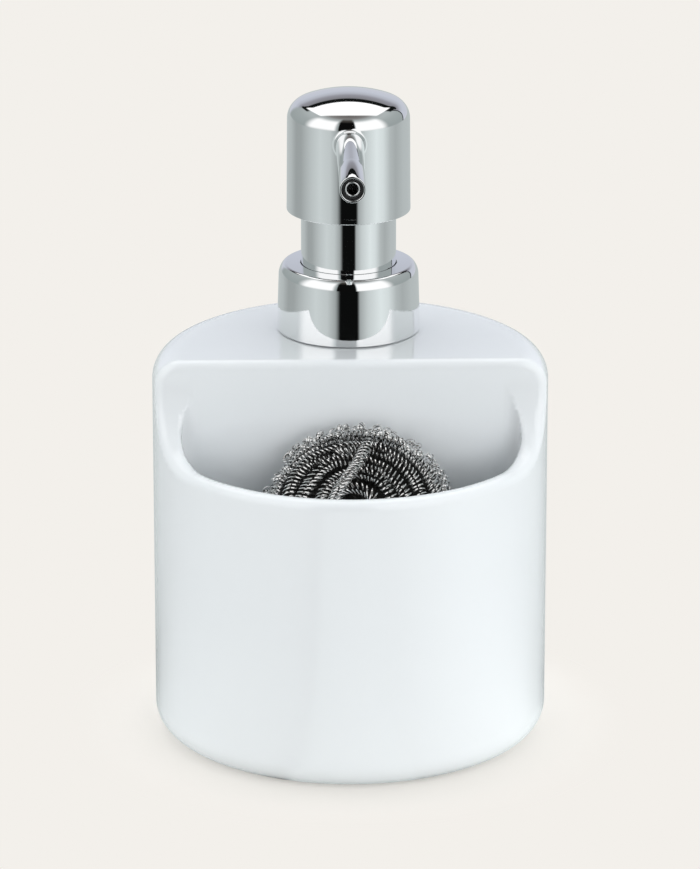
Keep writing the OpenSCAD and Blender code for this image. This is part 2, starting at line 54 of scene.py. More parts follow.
# %% [markdown]
# ## The camera
# A product photograph like this one is taken with a long lens from about a metre and a half away.
# The long lens keeps the jar's sides almost parallel. The place and the angles below were solved
# from the ellipses of the deck, the collar and the foot, so the camera is set by numbers and not
# by eye. The alternative, turning it by hand until it looks right, never settles.

# %% Camera
LENS, SENSOR, FAR = 222.14, 36, 20
LOOKS_DOWN, TURNED = 18.552, -1.246


def add_object(name, data):
    """An object in the scene that holds this data."""
    made = bpy.data.objects.new(name, data)
    bpy.context.scene.collection.objects.link(made)
    return made


camera_data = bpy.data.cameras.new("camera")
camera_data.lens = LENS
camera_data.sensor_width = SENSOR
camera_data.clip_end = FAR
camera = add_object("camera", camera_data)
camera.location = (-0.0309, -1.4186, 0.5614)
camera.rotation_euler = Euler((math.radians(90 - LOOKS_DOWN), 0, math.radians(TURNED)))
bpy.context.scene.camera = camera
bpy.context.scene.view_settings.view_transform = "Standard"
print("camera at", tuple(camera.location), "m, looking down by", LOOKS_DOWN, "degrees")

# %% [markdown]
# ## Small helpers for nodes
# Materials, the floor and the studio are all node trees. A few short functions keep them readable:
# one adds any node and fills its inputs, and the others add the usual kinds. Each takes a number
# or the output of another node, so a formula is written from the inside out. Dragging the same
# nodes by hand would give the same trees, more slowly.

# %% Node helpers
def add_node(tree, kind, inputs=(), **settings):
    """Adds a node. inputs maps a socket's name or number to a value or to another node's output."""
    made = tree.nodes.new(kind)
    for name, value in settings.items():
        setattr(made, name, value)
    for key, value in dict(inputs).items():
        if isinstance(value, bpy.types.NodeSocket):
            tree.links.new(value, made.inputs[key])
        else:
            made.inputs[key].default_value = value
    return made


def calc(tree, operation, *values):
    """A Math node, as its output."""
    return add_node(tree, "ShaderNodeMath", dict(enumerate(values)), operation=operation).outputs[0]


def rgba(colour):
    """A grey number or a colour of three numbers as four numbers. A node's output stays as it is."""
    if isinstance(colour, (int, float)):
        colour = (colour, colour, colour)
    return (*colour, 1) if isinstance(colour, tuple) else colour


def blend_colours(tree, mask, first, second):
    """Mixes two colours by a mask, 0 giving the first and 1 the second."""
    inputs = {"Factor": mask, 6: rgba(first), 7: rgba(second)}
    return add_node(tree, "ShaderNodeMix", inputs, data_type="RGBA").outputs[2]


def choose(tree, mask, first, second):
    """Mixes two shaders by a mask, 0 giving the first and 1 the second."""
    return add_node(tree, "ShaderNodeMixShader", {0: mask, 1: first, 2: second}).outputs[0]


print("a grey of one half as a colour:", rgba(0.5))

# %% [markdown]
# ## Masks and ramps
# A mask is a number from 0 to 1 that says where something is. Soft steps make the best ones, as
# nothing in a studio ends in a hard line, and masks that are multiplied cut a patch out of the
# sky. A ramp turns a measured value into a tone, with its stops written in the value's own units.

# %% Mask and ramp helpers
def between(tree, value, low, high):
    """0 below low, 1 above high and a smooth step in between."""
    inputs = {"Value": value, "From Min": low, "From Max": high}
    return add_node(tree, "ShaderNodeMapRange", inputs, interpolation_type="SMOOTHSTEP").outputs[0]


def above(tree, value, edge, soft):
    """1 where the value is above an edge."""
    return between(tree, calc(tree, "SUBTRACT", value, edge), -soft, soft)


def below(tree, value, edge, soft):
    """1 where the value is below an edge."""
    return between(tree, calc(tree, "SUBTRACT", edge, value), -soft, soft)


def both(tree, first, second):
    """The product of two masks or values: of masks, 1 only where both are 1."""
    return calc(tree, "MULTIPLY", first, second)


def window(tree, value, low, high, soft):
    """1 where the value is between low and high, with soft edges."""
    return both(tree, above(tree, value, low, soft), below(tree, value, high, soft))


def ramp(tree, value, stops):
    """A colour ramp through stops of (value, tone), given from the lowest value to the highest."""
    low, high = stops[0][0], stops[-1][0]
    inputs = {"Value": value, "From Min": low, "From Max": high}
    place = add_node(tree, "ShaderNodeMapRange", inputs).outputs[0]
    made = add_node(tree, "ShaderNodeValToRGB", {0: place})
    band = made.color_ramp
    while len(band.elements) < len(stops):
        band.elements.new(0.5)
    for element, (at, colour) in zip(band.elements, stops):
        element.position = (at - low) / (high - low)
        element.color = rgba(colour)
    return made.outputs["Color"]


def curve(tree, value, points):
    """A line through points of (value, result), as a node's output."""
    bottom, top = min(result for _, result in points), max(result for _, result in points)
    stops = [(at, (result - bottom) / (top - bottom)) for at, result in points]
    line = add_node(tree, "ShaderNodeSeparateColor", {0: ramp(tree, value, stops)}).outputs[0]
    inputs = {"Value": line, "To Min": bottom, "To Max": top}
    return add_node(tree, "ShaderNodeMapRange", inputs).outputs[0]


print("a window is two soft edges multiplied")

# %% [markdown]
# ## The studio
# Chrome has no colour of its own, so what it shows is the studio: a soft panel overhead, a tall
# soft box at either side, a lilac backdrop behind and black cloth round the camera. They could be
# modelled as glowing planes, but planes would stand in the way of other views. A world shader is
# lighter, because it only answers how bright each direction is. A direction is given here as a
# compass angle round the pump and a height above the horizon, both in degrees.

# %% Directions of the studio
BACKGROUND = (0.896, 0.871, 0.831)
DEGREES = 180 / math.pi

world = bpy.data.worlds.new("studio")
bpy.context.scene.world = world
world.use_nodes = True
world.cycles.sampling_method = "NONE"
sky = world.node_tree
sky.nodes.clear()


def compass_angle(tree, right, back):
    """Degrees round the pump: 0 is towards the camera, 90 to the right and 180 to the back."""
    turned = calc(tree, "ARCTAN2", right, calc(tree, "MULTIPLY", back, -1))
    return calc(tree, "MULTIPLY", turned, DEGREES)


direction = add_node(sky, "ShaderNodeTexCoord").outputs["Generated"]
dx, dy, dz = add_node(sky, "ShaderNodeSeparateXYZ", {0: direction}).outputs
compass = compass_angle(sky, dx, dy)
height = calc(sky, "MULTIPLY", calc(sky, "ARCSINE", dz), DEGREES)
print("the plain background is", BACKGROUND)

# %% [markdown]
# ## The room
# The chrome's low tones come from the table, which runs from pale at the sides to black in front.
# A ramp over the compass holds them, and the floor further down uses the same ramp. Higher up the
# walls are a cool grey that gets darker towards the ceiling. The black cloth round the camera is
# the narrow dark line down the middle of the collar and the head.

# %% Room
TABLE = [(-180, .58), (-135, .50), (-115, .37), (-100, .38), (-75, .55), (-55, .66), (-35, .59),
         (-22, .38), (-15, .004), (13.5, .004), (17, .40), (30, .63), (52, .83), (66, .75),
         (82, .50), (96, .43), (121, .51), (180, .55)]
WALLS = [(-90, (.36, .40, .40)), (0, (.33, .37, .37)), (30, (.38, .42, .42)), (48, (.46, .50, .50)),
         (60, (.42, .45, .45)), (70, (.24, .235, .23)), (80, (.17, .16, .155)), (90, (.15, .14, .135))]
COOL_GREY = (0.95, 1.03, 1.03)
CLOTH, CLOTH_HALO = 0.004, (0.06, 0.055, 0.05)


def tinted(stops):
    """The same stops with their plain tones turned into a cool grey."""
    return [(at, tuple(tone * part for part in COOL_GREY)) for at, tone in stops]


room = blend_colours(sky, above(sky, height, -4, 10), ramp(sky, compass, tinted(TABLE)),
                     ramp(sky, height, WALLS))
halo = both(sky, window(sky, compass, -22, 12, 6), window(sky, height, 38, 66, 8))
room = blend_colours(sky, halo, room, CLOTH_HALO)
cloth = both(sky, window(sky, compass, -20.5, 11.5, 1.5), below(sky, height, 51, 8))
room = blend_colours(sky, cloth, room, CLOTH)
print("the table has", len(TABLE), "tones and the walls have", len(WALLS))

# %% [markdown]
# ## The soft boxes
# Two tall boxes stand left and right of the camera and make the bright bands on the collar, the
# sleeve and the head. Real soft boxes fade towards their edges, the left one most of all, so each
# edge has its own softness.

# %% Soft boxes
BOX_TONE, BOX_TOP, BOX_SOFT = 1.1, 51, 9

left_box = both(sky, above(sky, compass, -84, 10), below(sky, compass, -26, 4))
left_box = both(sky, left_box, window(sky, height, 0, BOX_TOP, BOX_SOFT))
right_box = both(sky, above(sky, compass, 12.5, 2), below(sky, compass, 72, 9))
right_box = both(sky, right_box, window(sky, height, -2, BOX_TOP, BOX_SOFT))
room = blend_colours(sky, calc(sky, "ADD", left_box, right_box), room, BOX_TONE)
print("soft boxes up to", BOX_TOP, "degrees")

# %% [markdown]
# ## The backdrop
# Behind the object hangs a lilac backdrop, which the rims of the chrome pieces catch. It gets
# darker upwards and ends in a thin dark edge on the right that leans back with height, and in a
# slow fade on the left.

# %% Backdrop
LILAC = (0.60, 0.62, 0.69)
LILAC_TONES = [(-90, (.72, .74, .78)), (-12, (.72, .74, .78)), (2, LILAC), (15, (.57, .60, .68)),
               (22, (.48, .50, .56)), (27, (.31, .31, .35)), (33, (.24, .24, .26)),
               (36, (.05, .05, .05)), (90, (.02, .02, .02))]
RIGHT_EDGE = [(-30, 122), (-12, 121), (-3, 120.5), (5, 124), (15, 129), (27, 133), (60, 136)]
LEFT_EDGE, LEFT_FADE, DARK_EDGE = -149, 0.12, 0.02

past_left = calc(sky, "MULTIPLY", calc(sky, "SUBTRACT", LEFT_EDGE, compass), LEFT_FADE)
past_right = calc(sky, "SUBTRACT", compass, curve(sky, height, RIGHT_EDGE))
behind = between(sky, calc(sky, "MAXIMUM", past_left, past_right), -0.8, 0.8)
room = blend_colours(sky, behind, room, ramp(sky, height, LILAC_TONES))
edge_line = both(sky, window(sky, past_right, -1.6, 1.6, 0.9), window(sky, height, -14, 60, 3))
room = blend_colours(sky, edge_line, room, DARK_EDGE)
print("the backdrop starts at", RIGHT_EDGE[0][1], "degrees on the right")

# %% [markdown]
# ## The panel overhead
# The big square highlight on the head's dome is the panel, with a black frame behind it that has
# two legs. A panel is flat, so it is drawn as it crosses a plane one metre up, by dividing the
# direction by its own upward part. In degrees its straight edges would come out bent.

# %% Overhead panel
PANEL_TONE, FRAME_TONE = 1.25, (0.006, 0.007, 0.007)
PANEL_HALF, PANEL_FRONT, PANEL_BACK = 0.63, 0.08, 1.18

upward = calc(sky, "MAXIMUM", dz, 0.001)
panel_x, panel_y = calc(sky, "DIVIDE", dx, upward), calc(sky, "DIVIDE", dy, upward)
bar = both(sky, window(sky, panel_y, 1.17, 1.47, 0.03), window(sky, panel_x, -0.74, 1.1, 0.06))
left_leg = both(sky, window(sky, panel_x, -0.86, -0.66, 0.05), window(sky, panel_y, 0.75, 1.6, 0.1))
right_leg = both(sky, window(sky, panel_x, 0.64, 0.95, 0.05), window(sky, panel_y, 0.7, 1.5, 0.1))
black_frame = calc(sky, "MAXIMUM", bar, calc(sky, "MAXIMUM", left_leg, right_leg))
room = blend_colours(sky, black_frame, room, FRAME_TONE)
panel = both(sky, above(sky, panel_y, PANEL_FRONT, 0.09), below(sky, panel_y, PANEL_BACK, 0.025))
panel = both(sky, window(sky, panel_x, -PANEL_HALF, PANEL_HALF, 0.05), panel)
panel = both(sky, panel, above(sky, dz, 0.03, 0.01))
studio = blend_colours(sky, panel, room, PANEL_TONE)
print("the studio has", len(sky.nodes), "nodes")

# %% [markdown]
# ## Who sees the studio
# A world shader can tell rays apart. Mirrors see the studio as it is. The camera sees only the
# plain pale background. Light that falls on the glaze comes from the studio too, with an extra
# glow from the low part of the two boxes and from the panel, because a real lamp is far brighter
# than the clipped white that a mirror of it shows in a photograph.

# %% World output
LEFT_GLOW, RIGHT_GLOW, PANEL_GLOW = (0.1, 0.8), (0.3, 1.5), 1.1


def glowing(colour):
    """A background shader of this colour."""
    return add_node(sky, "ShaderNodeBackground", {"Color": rgba(colour), "Strength": 1.0}).outputs[0]


low_part = below(sky, height, 24, 6)
glow = blend_colours(sky, left_box, 0.0, blend_colours(sky, low_part, *LEFT_GLOW))
glow = blend_colours(sky, right_box, glow, blend_colours(sky, low_part, *RIGHT_GLOW))
glow = blend_colours(sky, panel, glow, PANEL_GLOW)
mirrored = glowing(studio)
lit = add_node(sky, "ShaderNodeAddShader", {0: mirrored, 1: glowing(glow)}).outputs[0]
rays = add_node(sky, "ShaderNodeLightPath").outputs
seen = choose(sky, rays["Is Glossy Ray"], lit, mirrored)
seen = choose(sky, rays["Is Camera Ray"], seen, glowing(BACKGROUND))
add_node(sky, "ShaderNodeOutputWorld", {"Surface": seen})
print("the whole world has", len(sky.nodes), "nodes")

# %% [markdown]
# ## Lamps
# Light from all around leaves a white jar flat. Four wide soft suns give the glaze its slow change
# of tone: a weak one from the upper right, a low one from the front that reaches the pocket's back
# wall, and two from the sides that brighten the jar's edges. Suns light the whole floor evenly,
# which area lamps would not, and they are kept out of mirrors, where the studio already shows.

# %% Lamps
def soft_sun(name, strength, azimuth, elevation, spread):
    """A sun as wide as a soft box. Azimuth 0 shines from the camera's side, 90 from the right."""
    data = bpy.data.lights.new(name, "SUN")
    data.energy = strength
    data.angle = math.radians(spread)
    lamp = add_object(name, data)
    lamp.rotation_euler = Euler((math.radians(90 - elevation), 0, math.radians(azimuth)))
    lamp.visible_glossy = False
    print(name, "of strength", strength, "from azimuth", azimuth, "and elevation", elevation)


soft_sun("right_box", 0.25, 55, 35, 50)
soft_sun("front_low", 0.35, 8, 4, 24)
soft_sun("left_side", 1.4, -111, 14, 60)
soft_sun("right_side", 1.3, 109, 14, 60)

# %% [markdown]
# ## The floor
# The floor is plain and pale, and one large square is enough for it. Its finish is where the work
# is, because three kinds of rays need three answers from it.

# %% Floor
REACH = 6.0
floor_mesh = bpy.data.meshes.new("floor")
floor_mesh.from_pydata([(-REACH, -REACH, 0), (REACH, -REACH, 0), (REACH, REACH, 0), (-REACH, REACH, 0)],
                       [], [(0, 1, 2, 3)])
floor = add_object("floor", floor_mesh)
paint = bpy.data.materials.new("floor")
paint.use_nodes = True
floor_mesh.materials.append(paint)
tree = paint.node_tree
tree.nodes.clear()
print("the floor reaches", REACH, "m each way")

# %% [markdown]
# ## What the chrome sees in the floor
# In the chrome the floor shows as the studio's table, darker or lighter by direction. Nearer than
# its front edge the black of the camera's side gives way to grey, and on the right a dark line
# parts it from the lilac backdrop. The place on the floor drives all of it, so the table belongs
# to the room and stays put when the view moves.

# %% Table tones on the floor
PUMP_Y = 21.0
FRONT_EDGE = (0.372, 0.380)
NEAR_GREY, LINE_TONE, LINE_SHARE = (0.52, 0.58, 0.58), (0.05, 0.05, 0.055), 0.55

place = add_node(tree, "ShaderNodeNewGeometry").outputs["Position"]
floor_x, floor_y = add_node(tree, "ShaderNodeSeparateXYZ", {0: place}).outputs[:2]
around = compass_angle(tree, floor_x, calc(tree, "SUBTRACT", floor_y, PUMP_Y * MM))
table = ramp(tree, around, tinted(TABLE))
table_near = blend_colours(tree, window(tree, around, -15, 15, 1.5), table, NEAR_GREY)
lilac_side = calc(tree, "MAXIMUM", above(tree, around, 121, 1), below(tree, around, -147, 12))
table_far = blend_colours(tree, lilac_side, table, LILAC)
side_line = both(tree, window(tree, around, 119.5, 122.5, 1.2), LINE_SHARE)
table_far = blend_colours(tree, side_line, table_far, LINE_TONE)
front_edge = between(tree, calc(tree, "MULTIPLY", floor_y, -1), *FRONT_EDGE)
table_seen = blend_colours(tree, front_edge, table_near, table_far)
print("the table's front edge is", FRONT_EDGE[0], "m in front of the jar's middle")

# %% [markdown]
# ## What the camera and the light see
# The camera sees the floor exactly as pale as the backdrop, so no horizon shows. Only close to the
# foot is a real matt floor mixed in, which takes the jar's thin contact shadow. For light that
# bounces up to the glaze the floor is bright round the foot and greyer further out, as a white
# sheet on a grey table is.

# %% Floor output
CONTACT, SHADOW_SHARE = (0.050, 0.080), 0.6
SHEET_EDGE, TABLE_GREY = (0.07, 0.13), (0.58, 0.57, 0.56)

squares = calc(tree, "ADD", both(tree, floor_x, floor_x), both(tree, floor_y, floor_y))
from_axis = calc(tree, "SQRT", squares)
near_foot = both(tree, calc(tree, "SUBTRACT", 1.0, between(tree, from_axis, *CONTACT)), SHADOW_SHARE)
bounce = blend_colours(tree, between(tree, from_axis, *SHEET_EDGE), BACKGROUND, TABLE_GREY)
matt = add_node(tree, "ShaderNodeBsdfDiffuse", {"Color": rgba(BACKGROUND)}).outputs[0]
sheet = add_node(tree, "ShaderNodeBsdfDiffuse", {"Color": bounce}).outputs[0]
even = add_node(tree, "ShaderNodeEmission", {"Color": rgba(BACKGROUND), "Strength": 1.0}).outputs[0]
mirror_view = add_node(tree, "ShaderNodeEmission", {"Color": table_seen, "Strength": 1.0}).outputs[0]
floor_rays = add_node(tree, "ShaderNodeLightPath").outputs
shown = choose(tree, floor_rays["Is Camera Ray"], sheet, choose(tree, near_foot, even, matt))
shown = choose(tree, floor_rays["Is Glossy Ray"], shown, mirror_view)
add_node(tree, "ShaderNodeOutputMaterial", {"Surface": shown})
print("the floor's finish has", len(tree.nodes), "nodes")

# %% [markdown]
# ## Surfaces from distance fields
# Fired clay and cast metal have no hard edges: every corner flows into the next face. Subdivision
# surfaces can do that, but a pocket with six radii needs a careful cage. A distance field is
# simpler. It is a function that says how far a point is from the surface, and two fields can be
# joined or cut with any rounding between them. Its slope also gives exact shading normals.

# %% Distance field helpers
def round_cut(a, b, radius):
    """Keeps what is inside both fields, with their edge rounded."""
    corner = np.hypot(np.maximum(a + radius, 0), np.maximum(b + radius, 0))
    return np.minimum(-radius, np.maximum(a, b)) + corner


def round_join(a, b, radius):
    """Keeps what is inside either field, with a fillet of this radius where they meet."""
    fillet = np.hypot(np.maximum(radius - a, 0), np.maximum(radius - b, 0))
    return np.maximum(radius, np.minimum(a, b)) - fillet


def ease(value):
    """A smooth step from 0 to 1."""
    t = np.clip(value, 0, 1)
    return t * t * (3 - 2 * t)


def slope(field, points, reach=0.02):
    """The unit direction in which the field grows, at each point."""
    columns = []
    for axis in range(3):
        nudge = np.zeros(3)
        nudge[axis] = reach
        columns.append(field(*(points + nudge).T) - field(*(points - nudge).T))
    out = np.stack(columns, 1) / (2 * reach)
    return out / np.maximum(np.linalg.norm(out, axis=1, keepdims=True), 1e-9)


print("a rounding of 2 mm takes a corner in by", round(float(round_cut(0.0, 0.0, 2.0)), 3), "mm")

# %% [markdown]
# ## From a field to a mesh
# The mesh is found in two steps. First the samples of a grid are marked as inside or outside, and
# each cell that the surface passes through gives one point, joined to its neighbours by quads.
# That skin is blocky. Then the points are evened out and slid onto the surface, a few times over.
# A remesh modifier works much like this, but it doesn't know the exact form.

# %% Skin helpers
EVEN_ROUNDS, SLIDE_ROUNDS, EVEN_SHARE = 4, 7, 0.7


def blocky_skin(inside):
    """The places of the cells that hold both kinds of samples, and the quads between them."""
    count = sum(inside[i:i - 1 or None, j:j - 1 or None, k:k - 1 or None].astype(np.int8)
                for i in (0, 1) for j in (0, 1) for k in (0, 1))
    mixed = (count > 0) & (count < 8)
    number = np.full(mixed.shape, -1)
    number[mixed] = np.arange(mixed.sum())
    quads = []
    for axis in range(3):
        order = (axis, (axis + 1) % 3, (axis + 2) % 3)
        grid, cells = np.moveaxis(inside, order, (0, 1, 2)), np.moveaxis(number, order, (0, 1, 2))
        first, second = grid[:-1, 1:-1, 1:-1], grid[1:, 1:-1, 1:-1]
        i, j, k = np.nonzero(first != second)
        ring = np.stack([cells[i, j + a, k + b] for a, b in ((0, 0), (1, 0), (1, 1), (0, 1))], 1)
        backwards = second[i, j, k]
        ring[backwards] = ring[backwards][:, ::-1]
        quads.append(ring)
    return np.argwhere(mixed), np.concatenate(quads)


def skin(field, low, high, cell):
    """Quads over the surface where the field is zero, as points in mm, faces and normals."""
    axes = [np.arange(a, b + cell, cell) for a, b in zip(low, high)]
    places, quads = blocky_skin(field(*np.meshgrid(*axes, indexing="ij")) < 0)
    points = np.array(low) + (places + 0.5) * cell
    ends = np.concatenate([quads[:, [n, (n + 1) % 4]] for n in range(4)])
    ends = np.concatenate([ends, ends[:, ::-1]])
    share = np.maximum(np.bincount(ends[:, 0], minlength=len(points)), 1)[:, None]
    for step in range(SLIDE_ROUNDS):
        if step < EVEN_ROUNDS:
            sums = [np.bincount(ends[:, 0], points[ends[:, 1], a], len(points)) for a in range(3)]
            points = points + EVEN_SHARE * (np.stack(sums, 1) / share - points)
        normal = slope(field, points)
        points = points - np.clip(field(*points.T), -cell, cell)[:, None] * normal
    return points, quads, slope(field, points)


marble = skin(lambda x, y, z: np.sqrt(x * x + y * y + z * z) - 2, (-3, -3, -3), (3, 3, 3), 0.5)[0]
print("a marble of radius 2 comes out between", np.linalg.norm(marble, axis=1).min().round(4),
      "and", np.linalg.norm(marble, axis=1).max().round(4))

# %% [markdown]
# ## Turning a mesh into a piece
# Each piece rides on one CAD body, takes its finish from one slot of the record and may stand for
# a CAD node, which is then hidden. One function does all of that, so no piece is forgotten, and it
# keeps a list of the pieces for when the finishes are ready.

# %% Piece helper
pieces = []


def make_piece(name, points, faces, body, slot, nodes=(), normals=None, sharp=None):
    """A mesh object from points in mm, riding on a CAD body and standing for some CAD nodes."""
    mesh = bpy.data.meshes.new(name)
    mesh.from_pydata((np.asarray(points) * MM).tolist(), [], np.asarray(faces).tolist())
    mesh.polygons.foreach_set("use_smooth", np.ones(len(mesh.polygons), bool))
    if normals is not None:
        mesh.normals_split_custom_set_from_vertices(normals.tolist())
    elif sharp is not None:
        mesh.set_sharp_from_angle(angle=math.radians(sharp))
    piece = add_object(name, mesh)
    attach(piece, body)
    if nodes:
        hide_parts(*nodes)
    pieces.append((piece, slot))
    print(name, len(mesh.vertices), "points", len(mesh.polygons), "faces")


# %% [markdown]
# ## The glazed jar
# The jar is one casting: a round tank with a deck on top, a pocket let into its front and a rim
# that sweeps up into the deck's two arms. The pocket and the opening above it are taken away from
# the round outside, and each edge gets the soft radius that clay has after glazing. The tank, the
# mouth and the foot ring are hollowed out too, so the jar is right from every side.

# %% Jar
BODY_R, BODY_H = 55.0, 110.0
DECK_ROUND, BASE_ROUND = 7.5, 7.5
WALL_Y, RIM_H, RIM_WALL, POCKET_Z, SWEEP_R = -10.5, 84.0, 5.5, 47.0, 20.0
POCKET_ROUND, POCKET_FLOOR_ROUND, SWEEP_CREASE, CREASE_FADE, RIM_ROUND = 6.0, 5.0, 2.4, 10, 2.3
TANK_R, TANK_FLOOR, TANK_TOP, TANK_ROUND = 50, 6, 104, 5.0
TANK_FRONT, UNDER_POCKET, UNDER_ROUND = -5.5, 41, 3.0
MOUTH_R, MOUTH_FLOOR, FOOT_R, FOOT_DEEP, INNER_ROUND = 14.6, 100, 44, 1.2, 0.6
JAR_CELL = 1.2


def jar_field(x, y, z):
    rho = np.hypot(x, y)
    outside = round_cut(round_cut(rho - BODY_R, z - BODY_H, DECK_ROUND), -z, BASE_ROUND)
    pocket = round_cut(rho - (BODY_R - RIM_WALL), y - WALL_Y, POCKET_ROUND)
    pocket = round_cut(pocket, POCKET_Z - z, POCKET_FLOOR_ROUND)
    opening = -round_join(z - RIM_H, WALL_Y - y, SWEEP_R)
    cavity = round_join(pocket, opening, SWEEP_CREASE * ease((WALL_Y - y) / CREASE_FADE))
    body = round_cut(outside, -cavity, RIM_ROUND)
    tank = round_cut(round_cut(rho - TANK_R, z - TANK_TOP, TANK_ROUND), TANK_FLOOR - z, TANK_ROUND)
    tank = round_cut(tank, -np.maximum(y - TANK_FRONT, UNDER_POCKET - z), UNDER_ROUND)
    mouth = np.maximum(np.hypot(x, y - PUMP_Y) - MOUTH_R, MOUTH_FLOOR - z)
    foot = np.maximum(rho - FOOT_R, z - FOOT_DEEP)
    return round_cut(body, -np.minimum(tank, np.minimum(mouth, foot)), INNER_ROUND)


points, faces, normals = skin(jar_field, (-57, -57, -2), (57, 57, 112), JAR_CELL)
make_piece("glazed_jar", points, faces, "body", "white_glaze", ["ceramic_body"], normals=normals)

# %% [markdown]
# ## The pump head
# The head is a drawn metal cup with a low dome, and its wall opens very slightly towards its foot.
# The corner between the wall and the dome is one true arc, because the studio's lines bend in it
# and would show any flaw. The cup is written as a profile in radius and height.

# %% Head cup
HEAD_R, HEAD_FOOT, HEAD_TOP, CROWN_R, CORNER_R = 17.3, 144.8, 178.7, 38.0, 5.7
FLARE, HEAD_WALL = 0.2, 1.2


def cup_field(r, z, wall, top, crown, corner):
    """A cylinder that ends in a corner arc and a shallow dome, open at the bottom."""
    dome_z = top - crown
    corner_z = dome_z + math.sqrt((crown - corner) ** 2 - (wall - corner) ** 2)
    u, v = r - (wall - corner), z - corner_z
    angle = np.arctan2(v, u)
    last = math.atan2(corner_z - dome_z, wall - corner)
    side = r - wall - FLARE * np.clip((corner_z - z) / (corner_z - HEAD_FOOT), 0, 1)
    rounded = np.where(angle >= last, np.hypot(r, z - dome_z) - crown, np.hypot(u, v) - corner)
    return np.where(angle <= 0, side, rounded)


print("the head is", round(HEAD_TOP - HEAD_FOOT, 1), "mm high")

# %% [markdown]
# ## The spout
# The spout flows out of the head's front, falls by three degrees and bends down a little more near
# its tip. Cup, spout and the fillet between them are one field, so the mirror finish runs over
# them unbroken. The spout is thin, so it gets a second, finer mesh a hair outside the first, which
# covers it. A fine grid over the whole head would be ten times as heavy.

# %% Head and spout
ROOT_Y, ROOT_Z, ROOT_R, TIP_Y, TIP_R = 3.7, 167.7, 4.0, -30.3, 3.6
FALL, BEND_Y, BEND_R = math.radians(3.0), -18.3, 60.0
BEND_Z = ROOT_Z - (ROOT_Y - BEND_Y) * math.tan(FALL)
RIM_Y, HEM_Z = TIP_Y + 0.5, HEAD_FOOT + 0.6
SPOUT_WALL, SPOUT_FILLET, SPOUT_BACK, BORE_DEEP, BURR, HAIR = 0.55, 0.8, 14, 7, 0.15, 0.008
HEAD_CELL, SPOUT_CELL = 0.36, 0.17


def spout_offset(y, z):
    """How far a point of the middle plane is above the spout's centre line."""
    along = -(y - BEND_Y) * math.cos(FALL) - (z - BEND_Z) * math.sin(FALL)
    over = -(y - BEND_Y) * math.sin(FALL) + (z - BEND_Z) * math.cos(FALL)
    return np.where(along < 0, over, np.hypot(along, over + BEND_R) - BEND_R)


def head_field(x, y, z):
    r = np.hypot(x, y - PUMP_Y)
    cup = cup_field(r, z, HEAD_R - FLARE, HEAD_TOP, CROWN_R, CORNER_R)
    hollow = cup_field(r, z, HEAD_R - FLARE - HEAD_WALL, HEAD_TOP - HEAD_WALL, CROWN_R - HEAD_WALL,
                       CORNER_R - HEAD_WALL)
    from_line = np.hypot(x, spout_offset(y, z))
    tube_r = TIP_R + (ROOT_R - TIP_R) * np.clip((y - BEND_Y) / (ROOT_Y - BEND_Y), 0, 1)
    tube = np.maximum(np.maximum(from_line - tube_r, RIM_Y - y), y - SPOUT_BACK)
    bore = np.maximum(from_line - (TIP_R - SPOUT_WALL), y - TIP_Y - BORE_DEEP)
    shell = round_cut(round_join(cup, tube, SPOUT_FILLET), -np.minimum(hollow, bore), BURR)
    return np.maximum(shell, HEM_Z - z)


def spout_field(x, y, z):
    """The same form, a hair larger."""
    return head_field(x, y, z) - HAIR


points, faces, normals = skin(head_field, (-18.5, -9.0, 143.5), (18.5, 39.5, 179.5), HEAD_CELL)
make_piece("pump_head", points, faces, "head", "chrome_plate", ["head_shell"], normals=normals)
points, faces, normals = skin(spout_field, (-4.6, -31.0, 159.5), (4.6, -8.0, 172.5), SPOUT_CELL)
make_piece("spout", points, faces, "head", "chrome_plate", normals=normals)

# %% [markdown]
# ## Turned pieces
# The collar, the sleeve and the nozzle's parts are turned on a lathe in real life, and a lathe
# makes them here: a closed profile is swept once round an axis. Blender's Screw modifier does the
# same, but in code the profile can also follow the spout's bent line.

# %% Lathe helpers
def arc(r, z, radius, start, end, steps):
    """Points on an arc about (r, z), from one angle in degrees to another."""
    angles = np.radians(np.linspace(start, end, steps + 1))
    return [(r + radius * math.cos(a), z + radius * math.sin(a)) for a in angles]


def ring_faces(segments, n):
    """Quads between the rings of a closed sweep whose sections have n points."""
    i, j = np.meshgrid(np.arange(segments), np.arange(n), indexing="ij")
    a, b = i * n + j, i * n + (j + 1) % n
    c, d = (i + 1) % segments * n + (j + 1) % n, (i + 1) % segments * n + j
    return np.stack([a, d, c, b], -1).reshape(-1, 4)


def turn(profile, segments=256):
    """Sweeps a closed profile of (radius, height) about the pump's axis."""
    ring = np.linspace(0, 2 * math.pi, segments, endpoint=False)
    r, z = np.array(profile).T
    points = np.stack([np.outer(np.cos(ring), r), PUMP_Y + np.outer(np.sin(ring), r),
                       np.broadcast_to(z, (segments, len(r)))], 2).reshape(-1, 3)
    return points, ring_faces(segments, len(r))


def follow_spout(profile, segments=96):
    """Sweeps a closed profile of (radius, depth behind the rim) round the spout's centre line."""
    ring = np.linspace(0, 2 * math.pi, segments, endpoint=False)
    r, depth = np.array(profile).T
    y = TIP_Y + depth
    sine = math.sin(FALL) + np.maximum(BEND_Y - y, 0) / BEND_R
    cosine = np.sqrt(1 - sine ** 2)
    z = BEND_Z + np.maximum(y - BEND_Y, 0) * math.tan(FALL) - BEND_R * (math.cos(FALL) - cosine)
    points = np.stack([np.outer(np.cos(ring), r), np.broadcast_to(y, (segments, len(r))),
                       z + np.outer(np.sin(ring), r / cosine)], 2).reshape(-1, 3)
    return points, ring_faces(segments, len(r))


print("the tip of a one step arc:", arc(0, 0, 1, 0, 90, 1)[-1])

